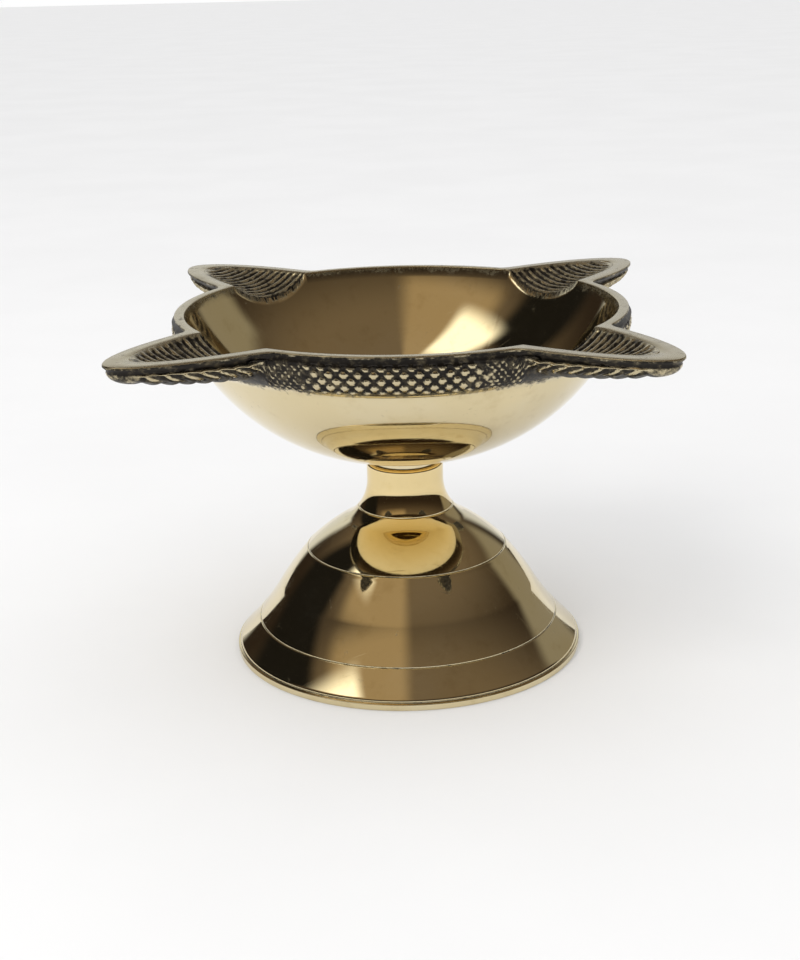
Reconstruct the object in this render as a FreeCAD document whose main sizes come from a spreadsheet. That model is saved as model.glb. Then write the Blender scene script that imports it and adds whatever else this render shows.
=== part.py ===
import FreeCAD, Part
import math
import os
import Sketcher
from FreeCAD import Placement, Rotation, Vector

# A small standing diya: a four-wick brass oil bowl that screws on to a hollow bell-shaped pedestal.
# Millimetres, +Z up. The origin is the centre of the foot, on the surface that the lamp stands on.
# The four spouts point along the diagonals, so the gap between two of them faces the front, -Y.

# Driving dimensions: alias, value, what it is.
SIZES = (
    ("foot_radius", 27.5, "outside of the pedestal's foot"),
    ("foot_edge", 1.0, "height of the foot's upright edge"),
    ("foot_step", 0.4, "chamfer between the foot's edge and the flare"),
    ("foot_width", 1.6, "width of the ring that the lamp stands on"),
    ("waist_radius", 20.2, "where the flare turns into the skirt"),
    ("waist_height", 10.3, "height of the waist"),
    ("break_radius", 15.7, "where the skirt meets the dome"),
    ("break_height", 16.3, "height of that break"),
    ("shoulder_radius", 9.2, "where the dome meets the neck's fillet"),
    ("shoulder_height", 21.1, "height of the shoulder"),
    ("flare_bend", 40.0, "radius of the hollow flare in section"),
    ("skirt_bend", 60.0, "radius of the skirt in section"),
    ("dome_bend", 31.0, "radius of the dome in section"),
    ("neck_bend", 7.3, "radius of the fillet under the neck"),
    ("neck_radius", 6.0, "outside of the neck"),
    ("neck_length", 2.76, "straight part of the neck, above its fillet"),
    ("neck_round", 0.45, "rounding of the neck's top edge"),
    ("shell_inset", 1.35, "how far the hollow lies inside the outline, sideways"),
    ("shell_drop", 1.15, "how far the hollow lies inside the outline, downwards"),
    ("scribe_radius", 0.16, "radius of the three turned lines"),
    ("low_scribe_drop", 5.2, "from the waist down to the line on the flare"),
    ("high_scribe_rise", 1.65, "from the shoulder up to the line under the neck"),
    ("seat_ring_land", 0.75, "how far the ring between bowl and neck reaches past the neck's countersink"),
    ("seat_ring_thickness", 0.8, "thickness of that ring"),
    ("ring_clearance", 0.1, "gap between the ring and the stud's plain neck, which keeps the ring on"),
    ("bowl_foot_radius", 5.6, "outside of the turned foot under the bowl"),
    ("bowl_foot_height", 0.55, "how far that foot stands below the bowl"),
    ("bowl_flat_radius", 2.5, "flat at the bottom of the bowl, inside and out"),
    ("bowl_height", 23.9, "from the bowl's foot to its rim"),
    ("bowl_floor", 2.3, "thickness of the bowl at its centre"),
    ("cavity_radius", 32.9, "inside of the bowl at its rim"),
    ("bowl_side_radius", 31.8, "outside of the bowl, just under the band"),
    ("band_height", 5.6, "height of the band round the rim"),
    ("band_foot_radius", 32.5, "outside of the band at its lower edge"),
    ("band_radius", 34.8, "outside of the band where it is widest"),
    ("band_bend", 7.0, "radius of the band in section"),
    ("lip_radius", 34.3, "outside of the rim's lip between the spouts"),
    ("lip_thickness", 1.0, "thickness of the lip"),
    ("lip_overhang", 0.45, "how far the lip stands out over a spout's belly"),
    ("spout_reach", 52.8, "from the lamp's axis to a spout's tip"),
    ("leaf_length", 36.0, "half the length of the ellipse that outlines a spout"),
    ("leaf_half_width", 10.6, "half the width of that ellipse"),
    ("tip_margin", 4.2, "from a spout's tip to the outer end of its wick channel"),
    ("channel_radius", 10.9, "radius of the channel in section"),
    ("channel_slope", 10.0, "fall of the channel towards the bowl, in degrees"),
    ("rib_pitch", 1.5, "spacing of the ribs across the channel"),
    ("rib_gap", 0.75, "width of the groove between two ribs"),
    ("rib_depth", 0.35, "depth of that groove"),
    ("thread_radius", 4.0, "crest of the stud's thread"),
    ("thread_depth", 0.65, "depth of the thread"),
    ("thread_pitch", 1.25, "rise of the thread in one turn"),
    ("thread_crest", 0.25, "width of the thread's crest"),
    ("thread_clearance", 0.1, "gap between the two threads, all round"),
    ("stud_reach", 8.0, "length of the stud below the seat ring"),
    ("stud_chamfer", 0.5, "chamfer at the stud's free end"),
    ("stud_socket", 1.2, "how deep the stud sits in the bowl's foot"),
    ("braze_gap", 0.05, "gap round the stud that the brazing fills"),
    ("mouth_chamfer", 0.35, "countersink at the mouth of the tapped neck"),
)
SPOUTS = 4
RIB_GROOVES = 11
FULL_TURN = 360.0
SPOUT_TURN = 45.0


class Length:
    """A size that knows both its value and the spreadsheet expression that gives it."""

    def __init__(self, text, value):
        self.text = text
        self.value = value

    @staticmethod
    def of(other):
        return other if isinstance(other, Length) else Length(repr(float(other)), float(other))

    def __add__(self, other):
        other = Length.of(other)
        return Length(f"({self.text} + {other.text})", self.value + other.value)

    def __sub__(self, other):
        other = Length.of(other)
        return Length(f"({self.text} - {other.text})", self.value - other.value)

    def __mul__(self, other):
        other = Length.of(other)
        return Length(f"({self.text} * {other.text})", self.value * other.value)

    def __truediv__(self, other):
        other = Length.of(other)
        return Length(f"({self.text} / {other.text})", self.value / other.value)

    def root(self):
        return Length(f"sqrt({self.text})", math.sqrt(self.value))


ZERO = Length.of(0.0)


def make_sheet(doc):
    """The spreadsheet of driving dimensions, and the same sizes as Lengths by name."""
    sheet = doc.addObject("Spreadsheet::Sheet", "sizes")
    found = {}
    for row, (alias, value, note) in enumerate(SIZES, start=1):
        sheet.set(f"A{row}", alias)
        sheet.set(f"B{row}", str(value))
        sheet.setAlias(f"B{row}", alias)
        sheet.set(f"C{row}", note)
        found[alias] = Length(f"sizes.{alias}", value)
    doc.recompute()
    found["neck_height"] = neck_foot(found)[0] + found["neck_length"]
    return found


def bind(owner, path, length):
    owner.setExpression(path, length.text)


def new_body(doc, label):
    body = doc.addObject("PartDesign::Body", label)
    body.Label = label
    return body


def origin_part(body, role):
    return next(part for part in body.Origin.OriginFeatures if part.Role == role)


def new_sketch(body, name, plane="XZ_Plane", across=None, up=None, lift=None, turn=None):
    """A sketch on an origin plane, moved within it by across and up, off it by lift, and turned."""
    sketch = body.newObject("Sketcher::SketchObject", name)
    sketch.AttachmentSupport = (origin_part(body, plane), [""])
    sketch.MapMode = "FlatFace"
    moves = {"x": across, "y": up, "z": lift}
    at = [move.value if move else 0.0 for move in moves.values()]
    sketch.AttachmentOffset = Placement(Vector(*at), Rotation(Vector(0, 0, 1), turn.value if turn else 0))
    for letter, move in moves.items():
        if move:
            bind(sketch, f"AttachmentOffset.Base.{letter}", move)
    if turn:
        bind(sketch, "AttachmentOffset.Rotation.Angle", turn)
    return sketch


def hold(sketch, constraint, length):
    index = sketch.addConstraint(constraint)
    bind(sketch, f"Constraints[{index}]", length)


def hold_point(sketch, curve, end, point):
    """Ties one end of a curve to a point given as two Lengths from the sketch's origin."""
    for kind, axis, length in (("DistanceX", -2, point[0]), ("DistanceY", -1, point[1])):
        if length is ZERO:
            sketch.addConstraint(Sketcher.Constraint("PointOnObject", curve, end, axis))
        else:
            hold(sketch, Sketcher.Constraint(kind, -1, 1, curve, end, length.value), length)


def centre_of(start, end, radius, left):
    """The centre of the arc from start to end, on the left or the right of that run, as two Lengths."""
    run = (end[0] - start[0], end[1] - start[1])
    span = run[0] * run[0] + run[1] * run[1]
    rise = ((radius * radius - span / 4.0) / span).root()
    side = 1.0 if left else -1.0
    middle = ((start[0] + end[0]) / 2.0, (start[1] + end[1]) / 2.0)
    return middle[0] - run[1] * rise * side, middle[1] + run[0] * rise * side


def draw_loop(sketch, corners, bends=None):
    """A closed outline through the corners. bends gives, for the run after a corner, (radius, left)."""
    bends = bends or {}
    runs = []
    for index, start in enumerate(corners):
        end = corners[(index + 1) % len(corners)]
        ends = [Vector(point[0].value, point[1].value) for point in (start, end)]
        if index not in bends:
            runs.append((sketch.addGeometry(Part.LineSegment(*ends)), 1, 2))
            continue
        radius, left = bends[index]
        middle = Vector(*(length.value for length in centre_of(start, end, radius, left)))
        angles = [math.atan2(point.y - middle.y, point.x - middle.x) for point in ends]
        circle = Part.Circle(middle, Vector(0, 0, 1), radius.value)
        arc = sketch.addGeometry(Part.ArcOfCircle(circle, *(angles if left else angles[::-1])))
        runs.append((arc, 1, 2) if left else (arc, 2, 1))
    for index, (curve, first, last) in enumerate(runs):
        following, its_first, _ = runs[(index + 1) % len(runs)]
        sketch.addConstraint(Sketcher.Constraint("Coincident", curve, last, following, its_first))
        hold_point(sketch, curve, first, corners[index])
        if index in bends:
            radius = bends[index][0]
            hold(sketch, Sketcher.Constraint("Radius", curve, radius.value), radius)


def draw_circle(sketch, centre, radius):
    at = Vector(centre[0].value, centre[1].value)
    circle = sketch.addGeometry(Part.Circle(at, Vector(0, 0, 1), radius.value))
    hold_point(sketch, circle, 3, centre)
    hold(sketch, Sketcher.Constraint("Radius", circle, radius.value), radius)


def draw_axis(sketch, start, end):
    """A construction line that a revolved feature turns about."""
    ends = [Vector(point[0].value, point[1].value) for point in (start, end)]
    line = sketch.addGeometry(Part.LineSegment(*ends), True)
    hold_point(sketch, line, 1, start)
    hold_point(sketch, line, 2, end)


def turned(body, kind, name, sketch, axis="V_Axis"):
    """A Revolution or a Groove of a sketch, right round."""
    feature = body.newObject(f"PartDesign::{kind}", name)
    feature.Profile = sketch
    feature.ReferenceAxis = (sketch, [axis])
    feature.Angle = FULL_TURN
    return feature


def raised(body, kind, name, sketch, length, reverse=False):
    """A Pad or a Pocket of a sketch, length long."""
    feature = body.newObject(f"PartDesign::{kind}", name)
    feature.Profile = sketch
    feature.Reversed = reverse
    bind(feature, "Length", length)
    return feature


def round_the_rim(body, name, features):
    """Repeats features at each spout."""
    pattern = body.newObject("PartDesign::PolarPattern", name)
    pattern.Originals = features
    pattern.Axis = (origin_part(body, "Z_Axis"), [""])
    pattern.Angle = FULL_TURN
    pattern.Occurrences = SPOUTS
    body.Tip = pattern
    return pattern


def bell_curve(size, inset=ZERO, drop=ZERO):
    """Corners and bends of the bell's section, from the foot up to the shoulder, moved in and down."""
    corners = [
        (size["foot_radius"] - size["foot_step"] - inset, size["foot_edge"] + size["foot_step"] - drop),
        (size["waist_radius"] - inset, size["waist_height"] - drop),
        (size["break_radius"] - inset, size["break_height"] - drop),
        (size["shoulder_radius"] - inset, size["shoulder_height"] - drop),
    ]
    bends = [(size["flare_bend"], False), (size["skirt_bend"], True), (size["dome_bend"], True)]
    return corners, bends


def neck_foot(size):
    """Height at which the neck's fillet runs out into the neck, and the fillet's centre."""
    bend = size["neck_bend"]
    across = bend - (size["shoulder_radius"] - size["neck_radius"])
    height = size["shoulder_height"] + (bend * bend - across * across).root()
    return height, (size["neck_radius"] + bend, height)


def thread_section(size, gap):
    """Corners of the thread in section, about its own mid-height, grown all round by gap."""
    overlap = size["thread_depth"] / 10.0
    root = size["thread_radius"] - size["thread_depth"] - overlap
    half_crest = size["thread_crest"] / 2.0 + gap
    base = half_root(size) + gap
    return [
        (root, ZERO - base),
        (size["thread_radius"] + gap, ZERO - half_crest),
        (size["thread_radius"] + gap, half_crest),
        (root, base),
    ]


def cut_thread(body, kind, name, size, start, length, gap):
    """A helical ridge or groove that starts at a height and climbs by length."""
    sketch = new_sketch(body, f"{name}_section", up=start)
    draw_loop(sketch, thread_section(size, gap))
    helix = body.newObject(f"PartDesign::{kind}", name)
    helix.Profile = sketch
    helix.ReferenceAxis = (sketch, ["V_Axis"])
    helix.Mode = "pitch-height-angle"
    bind(helix, "Pitch", size["thread_pitch"])
    bind(helix, "Height", length)
    return helix


def thread_start(size):
    """Height of the lowest thread section on the stud."""
    return size["neck_height"] - size["stud_reach"] + half_root(size) + size["stud_chamfer"]


def half_root(size):
    """Half the width of the thread at its root."""
    return (size["thread_crest"] + size["thread_depth"]) / 2.0


def mouth_radius(size):
    """Outside of the countersink at the mouth of the tapped neck."""
    return size["thread_radius"] + size["thread_clearance"] + size["mouth_chamfer"]


def make_pedestal(doc, size):
    """The bell with its neck: one casting, turned outside, hollow below and tapped through the neck."""
    body = new_body(doc, "pedestal")
    neck_start, fillet_centre = neck_foot(size)
    foot = size["foot_radius"]
    radius, height = size["neck_radius"], size["neck_height"]

    outside = new_sketch(body, "bell_outline")
    curve, bends = bell_curve(size)
    corners = [(ZERO, ZERO), (foot, ZERO), (foot, size["foot_edge"]), *curve]
    corners += [(radius, neck_start), (radius, height - size["neck_round"])]
    corners += [(radius - size["neck_round"], height), (ZERO, height)]
    runs = dict(enumerate([*bends, (size["neck_bend"], False)], start=3))
    runs[8] = (size["neck_round"], True)
    draw_loop(outside, corners, runs)
    turned(body, "Revolution", "bell", outside)

    inside = new_sketch(body, "hollow_outline")
    curve, bends = bell_curve(size, size["shell_inset"], size["shell_drop"])
    ceiling = curve[-1][1] + size["shell_drop"] / 2.0
    bore = size["thread_radius"] - size["thread_depth"] + size["thread_clearance"]
    corners = [(ZERO, ZERO), (foot - size["foot_width"], ZERO), *curve, (bore, ceiling), (ZERO, ceiling)]
    draw_loop(inside, corners, dict(enumerate(bends, start=2)))
    turned(body, "Groove", "hollow", inside)

    hole = new_sketch(body, "tapping_hole_outline")
    mouth = mouth_radius(size)
    slope = mouth - bore
    below = ceiling - size["shell_drop"]
    corners = [(ZERO, below), (bore, below), (bore, height - slope), (mouth, height), (ZERO, height)]
    draw_loop(hole, corners)
    turned(body, "Groove", "tapping_hole", hole)

    start = thread_start(size) - size["thread_pitch"]
    cut_thread(body, "SubtractiveHelix", "neck_thread", size, start, height - start, size["thread_clearance"])

    flare = centre_of(*bell_curve(size)[0][:2], *bell_curve(size)[1][0])
    low = size["waist_height"] - size["low_scribe_drop"]
    high = size["shoulder_height"] + size["high_scribe_rise"]
    reach = size["flare_bend"] * size["flare_bend"] - (flare[1] - low) * (flare[1] - low)
    rise = size["neck_bend"] * size["neck_bend"] - (fillet_centre[1] - high) * (fillet_centre[1] - high)
    lines = {
        "line_on_flare": (flare[0] - reach.root(), low),
        "line_at_break": (size["break_radius"], size["break_height"]),
        "line_under_neck": (fillet_centre[0] - rise.root(), high),
    }
    for name, point in lines.items():
        sketch = new_sketch(body, f"{name}_section")
        draw_circle(sketch, point, size["scribe_radius"])
        turned(body, "Groove", name, sketch)
    return body


def make_seat_ring(doc, size):
    """The thin ring between the neck and the bowl's foot, held on the stud by the crest of its thread."""
    body = new_body(doc, "seat_ring")
    sketch = new_sketch(body, "ring_section")
    inner = size["thread_radius"] - size["thread_depth"] + size["ring_clearance"]
    outer = mouth_radius(size) + size["seat_ring_land"]
    low = size["neck_height"]
    high = low + size["seat_ring_thickness"]
    draw_loop(sketch, [(inner, low), (outer, low), (outer, high), (inner, high)])
    turned(body, "Revolution", "ring", sketch)
    return body


def make_stud(doc, size):
    """The threaded stud, brazed into the bowl's foot. Its thread stops short of the seat ring."""
    body = new_body(doc, "bowl_stud")
    core = size["thread_radius"] - size["thread_depth"]
    free_end = size["neck_height"] - size["stud_reach"]
    seat = size["neck_height"] + size["seat_ring_thickness"]
    top = seat + size["stud_socket"]
    chamfer = size["stud_chamfer"]
    sketch = new_sketch(body, "core_outline")
    corners = [
        (ZERO, free_end),
        (core - chamfer, free_end),
        (core, free_end + chamfer),
        (core, top),
        (ZERO, top),
    ]
    draw_loop(sketch, corners)
    turned(body, "Revolution", "core", sketch)
    start = thread_start(size)
    length = size["neck_height"] - half_root(size) - start
    cut_thread(body, "AdditiveHelix", "stud_thread", size, start, length, ZERO)
    return body


def make_bowl(doc, size):
    """The bowl: one casting with its four spouts, turned inside and out."""
    body = new_body(doc, "bowl")
    seat = size["neck_height"] + size["seat_ring_thickness"]
    bottom = seat + size["bowl_foot_height"]
    rim = seat + size["bowl_height"]
    lip_foot = rim - size["lip_thickness"]
    band_foot = rim - size["band_height"]
    flat = size["bowl_flat_radius"]

    outside = new_sketch(body, "bowl_outline")
    across = size["bowl_side_radius"] - flat
    up = band_foot - bottom
    bend = (across * across + up * up) / (up * 2.0)
    foot = size["bowl_foot_radius"]
    foot_top = bottom + bend - (bend * bend - (foot - flat) * (foot - flat)).root()
    corners = [
        (ZERO, seat),
        (foot, seat),
        (foot, foot_top),
        (size["bowl_side_radius"], band_foot),
        (size["band_foot_radius"], band_foot),
        (size["band_radius"], lip_foot),
        (ZERO, lip_foot),
    ]
    draw_loop(outside, corners, {2: (bend, True), 4: (size["band_bend"], True)})
    turned(body, "Revolution", "bowl_solid", outside)

    reach = size["spout_reach"] - size["lip_overhang"]
    belly = size["leaf_half_width"] - size["lip_overhang"]
    sine = belly / (size["leaf_length"] - size["lip_overhang"])
    slope = Length(f"asin({sine.text})", math.degrees(math.asin(sine.value)))
    length = size["leaf_length"]
    underside = new_sketch(body, "belly_outline", across=reach, up=lip_foot, turn=slope)
    draw_loop(underside, [(ZERO - length, ZERO), (ZERO, ZERO), (ZERO, belly), (ZERO - length, belly)])
    draw_axis(underside, (ZERO - length, belly), (ZERO, belly))
    spout = turned(body, "Revolution", "spout_belly", underside, "Axis0")
    round_the_rim(body, "spout_bellies", [spout])

    above = new_sketch(body, "level_outline", "XY_Plane", lift=lip_foot)
    draw_circle(above, (ZERO, ZERO), size["spout_reach"] + size["leaf_half_width"])
    raised(body, "Pocket", "levelling_cut", above, size["leaf_half_width"] * 3.0, reverse=True)

    ring = new_sketch(body, "lip_outline", "XY_Plane", lift=lip_foot)
    draw_circle(ring, (ZERO, ZERO), size["lip_radius"])
    raised(body, "Pad", "lip", ring, size["lip_thickness"])
    leaf = new_sketch(body, "leaf_outline", "XY_Plane", lift=lip_foot)
    draw_leaf(leaf, size)
    spout_lip = raised(body, "Pad", "spout_lip", leaf, size["lip_thickness"])
    round_the_rim(body, "spout_lips", [spout_lip])

    cavity = new_sketch(body, "cavity_outline")
    floor = seat + size["bowl_floor"]
    across = size["cavity_radius"] - flat
    deep = rim - floor
    bend = (across * across + deep * deep) / (deep * 2.0)
    corners = [(ZERO, floor), (flat, floor), (size["cavity_radius"], rim), (ZERO, rim)]
    draw_loop(cavity, corners, {1: (bend, True)})
    turned(body, "Groove", "cavity", cavity)

    mouth = size["spout_reach"] - size["tip_margin"]
    channel = new_sketch(body, "channel_outline", across=mouth, up=rim, turn=size["channel_slope"])
    draw_loop(channel, ribbed_edge(size))
    depth = size["channel_radius"]
    draw_axis(channel, (ZERO - size["leaf_length"] / 2.0, depth), (ZERO, depth))
    groove = turned(body, "Groove", "wick_channel", channel, "Axis0")
    round_the_rim(body, "wick_channels", [groove])

    socket = new_sketch(body, "stud_socket_outline")
    core = size["thread_radius"] - size["thread_depth"] + size["braze_gap"]
    top = seat + size["stud_socket"]
    draw_loop(socket, [(ZERO, seat), (core, seat), (core, top), (ZERO, top)])
    turned(body, "Groove", "stud_socket", socket)
    body.Placement = Placement(Vector(), Rotation(Vector(0, 0, 1), SPOUT_TURN))
    return body


def draw_leaf(sketch, size):
    """The ellipse that outlines a spout: its tip is at the spout's reach, on the X axis."""
    middle = size["spout_reach"] - size["leaf_length"]
    tip = Vector(size["spout_reach"].value, 0)
    side = Vector(middle.value, size["leaf_half_width"].value)
    ellipse = sketch.addGeometry(Part.Ellipse(tip, side, Vector(middle.value, 0)))
    sketch.exposeInternalGeometry(ellipse)
    hold_point(sketch, ellipse, 3, (middle, ZERO))
    major, minor = ellipse + 1, ellipse + 2
    sketch.addConstraint(Sketcher.Constraint("Horizontal", major))
    for line, half in ((major, size["leaf_length"]), (minor, size["leaf_half_width"])):
        full = half * 2.0
        hold(sketch, Sketcher.Constraint("Distance", line, full.value), full)


def ribbed_edge(size):
    """Corners of the wick channel's section along its fall: a comb whose gaps leave the ribs standing."""
    pitch, gap, depth = size["rib_pitch"], size["rib_gap"], size["rib_depth"]
    corners = [(ZERO, ZERO)]
    for index in range(RIB_GROOVES):
        near = ZERO - pitch * (index + 1.0)
        far = near - gap
        corners += [(near, ZERO), (near, ZERO - depth), (far, ZERO - depth), (far, ZERO)]
    inner_end = ZERO - size["leaf_length"] / 2.0
    return corners + [(inner_end, ZERO), (inner_end, size["channel_radius"]), (ZERO, size["channel_radius"])]


def check(doc, bodies):
    """Stops if any feature failed or a piece isn't one valid solid."""
    failed = [part.Name for part in doc.Objects if {"Invalid", "Error"} & set(part.State)]
    if failed:
        raise RuntimeError(f"failed features: {failed}")
    for body in bodies:
        shape = body.Shape
        if shape.isNull() or not shape.isValid() or len(shape.Solids) != 1:
            raise RuntimeError(f"{body.Label} isn't one valid solid")
        print(f"{body.Label}: {shape.Volume:.1f} mm3")


def main():
    doc = FreeCAD.newDocument("diya")
    size = make_sheet(doc)
    makers = (make_pedestal, make_seat_ring, make_stud, make_bowl)
    bodies = [make(doc, size) for make in makers]
    doc.recompute()
    check(doc, bodies)
    os.makedirs("parts", exist_ok=True)
    for body in bodies:
        body.Shape.exportStep(f"parts/{body.Label}.step")


main()
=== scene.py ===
import math

import bmesh
import bpy
import numpy as np
from bpy.props import FloatProperty, FloatVectorProperty, PointerProperty
from mathutils import Matrix, Vector


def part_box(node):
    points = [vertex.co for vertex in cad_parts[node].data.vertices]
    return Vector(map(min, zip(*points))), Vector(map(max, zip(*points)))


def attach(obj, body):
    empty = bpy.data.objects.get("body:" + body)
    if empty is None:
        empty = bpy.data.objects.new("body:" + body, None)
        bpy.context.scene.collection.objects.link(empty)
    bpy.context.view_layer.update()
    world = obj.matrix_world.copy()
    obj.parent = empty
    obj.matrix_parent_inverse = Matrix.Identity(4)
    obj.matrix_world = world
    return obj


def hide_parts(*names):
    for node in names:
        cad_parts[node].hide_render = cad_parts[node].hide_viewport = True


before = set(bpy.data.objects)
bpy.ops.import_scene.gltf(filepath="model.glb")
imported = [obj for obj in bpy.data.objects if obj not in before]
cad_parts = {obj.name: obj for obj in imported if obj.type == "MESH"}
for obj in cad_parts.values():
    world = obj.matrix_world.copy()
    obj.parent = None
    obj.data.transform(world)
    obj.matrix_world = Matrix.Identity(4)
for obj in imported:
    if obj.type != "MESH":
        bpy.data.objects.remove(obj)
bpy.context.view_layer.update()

bl_info = {
    "name": "Four-wick diya",
    "version": (1, 0, 0),
    "blender": (4, 5, 0),
    "location": "3D View > Sidebar > Diya",
    "description": "A small brass oil lamp: a bowl with four wick spouts on a bell-shaped pedestal",
    "category": "Object",
}

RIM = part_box("bowl")[1].z
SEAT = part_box("bowl")[0].z
NECK_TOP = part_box("pedestal")[1].z
FOOT_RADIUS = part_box("pedestal")[1].x
MM = 0.001
SPOUTS = 4
QUARTER = math.tau / SPOUTS
FIRST_SPOUT = QUARTER / 2
SECTORS = 16
QUARTER_COLUMNS = 284
PEDESTAL_STEPS = 18
# Height where the painted amber reflection on the pedestal's neck reaches full strength, rising from the
# shoulder.
NECK_REFLECTION_TOP = 25 * MM
TURNING_FINENESS = 3000.0


def length(name, description, millimetres):
    size = millimetres * MM
    return FloatProperty(name=name, description=description, default=size, unit="LENGTH", precision=5)


def angle(name, description, degrees):
    return FloatProperty(name=name, description=description, default=math.radians(degrees), unit="ROTATION")


def share(name, description, value):
    return FloatProperty(name=name, description=description, default=value, min=0, max=1, subtype="FACTOR")


def number(name, description, value):
    return FloatProperty(name=name, description=description, default=value)


def colour(name, description, value):
    settings = {"name": name, "description": description, "default": value}
    return FloatVectorProperty(min=0, max=1, subtype="COLOR", **settings)


class DIYA_PG_bowl(bpy.types.PropertyGroup):
    """Sizes of the oil bowl and its four spouts"""

    floor: length("Floor", "Thickness at the bowl's centre", 2.3)
    flat: length("Flat", "Radius of the flat at the bottom, inside and out", 2.5)
    foot_radius: length("Foot radius", "Turned foot under the bowl", 5.6)
    foot_height: length("Foot height", "How far that foot stands below the bowl", 0.55)
    cavity_radius: length("Cavity radius", "Inside of the bowl at its rim", 32.9)
    side_radius: length("Side radius", "Outside of the bowl just under the band", 31.8)
    band_height: length("Band height", "Height of the knurled band with its lip", 5.6)
    band_foot_radius: length("Band foot", "Radius of the band's lower edge", 32.5)
    band_radius: length("Band radius", "Radius of the band under the lip", 34.8)
    lip_radius: length("Lip radius", "Radius of the lip between the spouts", 34.3)
    lip_thickness: length("Lip thickness", "Thickness of the lip", 1.0)
    lip_overhang: length("Lip overhang", "How far the lip stands out over a spout's belly", 0.45)
    lip_round: length("Lip rounding", "Rounding of the lip's edges", 0.2)
    lip_edge: length("Lip edge", "Height of the lip's side, above its undercut", 0.34)
    spout_reach: length("Spout reach", "From the axis to a spout's tip", 52.8)
    leaf_length: length("Leaf length", "Half the length of the leaf that outlines a spout", 36.0)
    leaf_half_width: length("Leaf half width", "Half the width of that leaf", 10.75)
    leaf_point: number("Leaf point", "0.5 is an ellipse, more is a sharper tip", 0.54)
    keel_run: length("Keel run", "From a spout's tip to where its underside is deepest", 20.0)
    keel_bluntness: number("Keel bluntness", "1 is a straight rise to the tip", 0.42)
    fillet: length("Fillet", "Softness of the corner between spout and rim", 2.2)
    tip_margin: length("Tip margin", "From a spout's tip to the end of its channel", 4.2)
    channel_radius: length("Channel radius", "Radius of the wick channel in section", 10.9)
    channel_slope: angle("Channel slope", "Fall of the channel towards the bowl", 10.0)
    rib_pitch: length("Rib pitch", "Spacing of the ribs across a channel", 1.3)
    rib_depth: length("Rib depth", "Depth of the grooves between them", 0.45)
    knurl_pitch: length("Knurl pitch", "Width of a diamond on the band", 2.05)
    knurl_depth: length("Knurl depth", "Depth of the grooves between diamonds", 0.42)
    rope_pitch: length("Rope pitch", "Spacing of the roping under a spout", 2.2)
    rope_depth: length("Rope depth", "Depth of the hollows between its strands", 0.55)
    rope_lean: number("Rope lean", "How far a strand leans inwards for each unit down", 0.9)
    rope_sweep: length("Rope sweep", "How far a strand sweeps inwards lower down", 1.6)
    rope_top: length("Rope top", "From the lip down to the lowest point of the scallops", 0.62)
    scallop: length("Scallop", "Height of the scallops along the roping's top", 0.3)
    undercut: length("Undercut", "Depth of the groove under a spout's lip", 0.5)


class DIYA_PG_pedestal(bpy.types.PropertyGroup):
    """Sizes of the bell-shaped pedestal"""

    foot_edge: length("Foot edge", "Height of the foot's upright edge", 1.0)
    foot_step: length("Foot step", "Chamfer between the edge and the flare", 0.4)
    foot_width: length("Foot width", "Width of the ring that the lamp stands on", 1.6)
    waist_radius: length("Waist radius", "Where the flare turns into the skirt", 20.2)
    waist_height: length("Waist height", "Height of the waist", 10.3)
    break_radius: length("Break radius", "Where the skirt meets the dome", 15.7)
    break_height: length("Break height", "Height of that break", 16.3)
    shoulder_radius: length("Shoulder radius", "Where the dome meets the neck's fillet", 9.2)
    shoulder_height: length("Shoulder height", "Height of the shoulder", 21.1)
    flare_bend: length("Flare bend", "Radius of the flare in section", 40.0)
    skirt_bend: length("Skirt bend", "Radius of the skirt in section", 60.0)
    dome_bend: length("Dome bend", "Radius of the dome in section", 31.0)
    neck_bend: length("Neck bend", "Radius of the fillet under the neck", 7.3)
    neck_radius: length("Neck radius", "Outside of the neck", 6.0)
    neck_round: length("Neck rounding", "Rounding of the neck's top edge", 0.45)
    shell_inset: length("Shell inset", "Hollow inside the outline, sideways", 1.35)
    shell_drop: length("Shell drop", "Hollow inside the outline, downwards", 1.15)
    scribe_width: length("Scribed line", "Half the width of the turned lines", 0.13)
    scribe_depth: length("Line depth", "Depth of the turned lines", 0.1)
    low_scribe: length("Low line", "Height of the line on the flare", 5.1)
    high_scribe: length("High line", "Height of the line under the neck", 22.75)
    mouth_chamfer: length("Mouth chamfer", "Countersink at the mouth of the tapped neck", 0.35)
    bore_radius: length("Bore radius", "Tapping hole in the neck", 3.45)
    thread_depth: length("Thread depth", "Depth of the neck's thread", 0.65)
    thread_pitch: length("Thread pitch", "Rise of the thread in one turn", 1.25)


class DIYA_PG_finish(bpy.types.PropertyGroup):
    """Colours and wear of the brass, and the colours of its painted shade and painted reflection"""

    brass: colour("Brass", "Freshly polished brass", (0.75, 0.64, 0.40))
    pale: colour("Pale brass", "Brass where it is rubbed palest", (0.78, 0.69, 0.48))
    aged: colour("Aged brass", "Brass with a light tarnish", (0.55, 0.43, 0.22))
    # The patina colour also paints shade: under the lip, in the roping's undercut and under the band's ledge.
    patina: colour("Patina and shade", "Dark patina in the hollows", (0.011, 0.008, 0.005))
    grime: colour("Old polish", "Dried polish among the patina", (0.105, 0.085, 0.05))
    satin: colour("Satin brass", "Brushed brass on the rim and the spouts", (0.50, 0.43, 0.28))
    # Painted reflection: a saturated amber on the bowl's underside near its foot and on the pedestal's neck,
    # where brass mirrors brass.
    painted_reflection: colour("Painted amber reflection", "Amber painted where the bowl and the pedestal mirror each other", (0.80, 0.59, 0.235))
    tarnish: share("Tarnish", "How much of the polish has gone dull", 0.35)


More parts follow.
